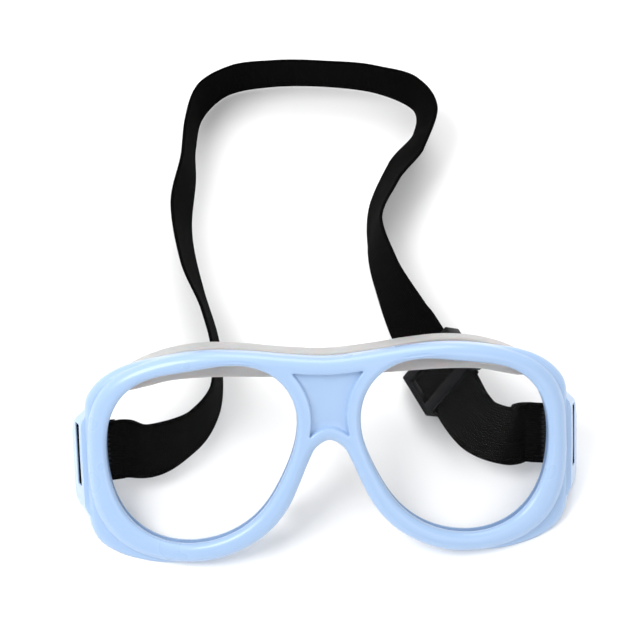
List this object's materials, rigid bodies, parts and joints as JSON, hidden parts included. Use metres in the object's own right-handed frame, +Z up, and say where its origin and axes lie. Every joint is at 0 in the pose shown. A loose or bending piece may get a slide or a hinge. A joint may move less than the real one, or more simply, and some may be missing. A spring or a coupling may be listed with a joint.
{
  "type": "sports protective goggles",
  "caption": "Leaning sports goggles: moulded front with clear lenses, soft brow and nose pads, slotted strap wings and an adjustable elastic head strap.",
  "frame": {"origin": "bottom centre of the goggles without the strap: on the table, midway between the lenses and midway from front to back", "axes": "+Z up from the table, -Y towards someone who faces the goggles, +X to that person's right, which is the wearer's left"},
  "size_m": [0.1502, 0.1722, 0.047],
  "materials": {
    "frame_plastic": "glossy",
    "pad_silicone": "satin",
    "lens_clear": "polished",
    "strap_webbing": "matte",
    "slider_plastic": "satin",
    "pin_steel": "satin"
  },
  "bodies": {
    "front": {"frame_front": "frame_plastic", "brow_pad": "pad_silicone", "nose_pad": "pad_silicone", "left_lens": "lens_clear", "right_lens": "lens_clear", "left_anchor_pin": "pin_steel", "right_anchor_pin": "pin_steel", "left_strap_loop": "strap_webbing", "right_strap_loop": "strap_webbing"},
    "strap": {"head_strap": "strap_webbing", "strap_return": "strap_webbing"},
    "slider": {"strap_slider": "slider_plastic", "strap_end_loop": "strap_webbing"}
  },
  "joints": [
    {"name": "strap_swing", "type": "hinge", "parent": "front", "child": "strap", "pos_m": [0, 0.00378, 0.01471], "axis": [1, 0, 0], "range_deg": [-47, 15]},
    {"name": "slider_slide", "type": "slide", "parent": "strap", "child": "slider", "axis": [0.3807, -0.9166, 0.1225], "range_m": [-0.008, 0.008]}
  ]
}
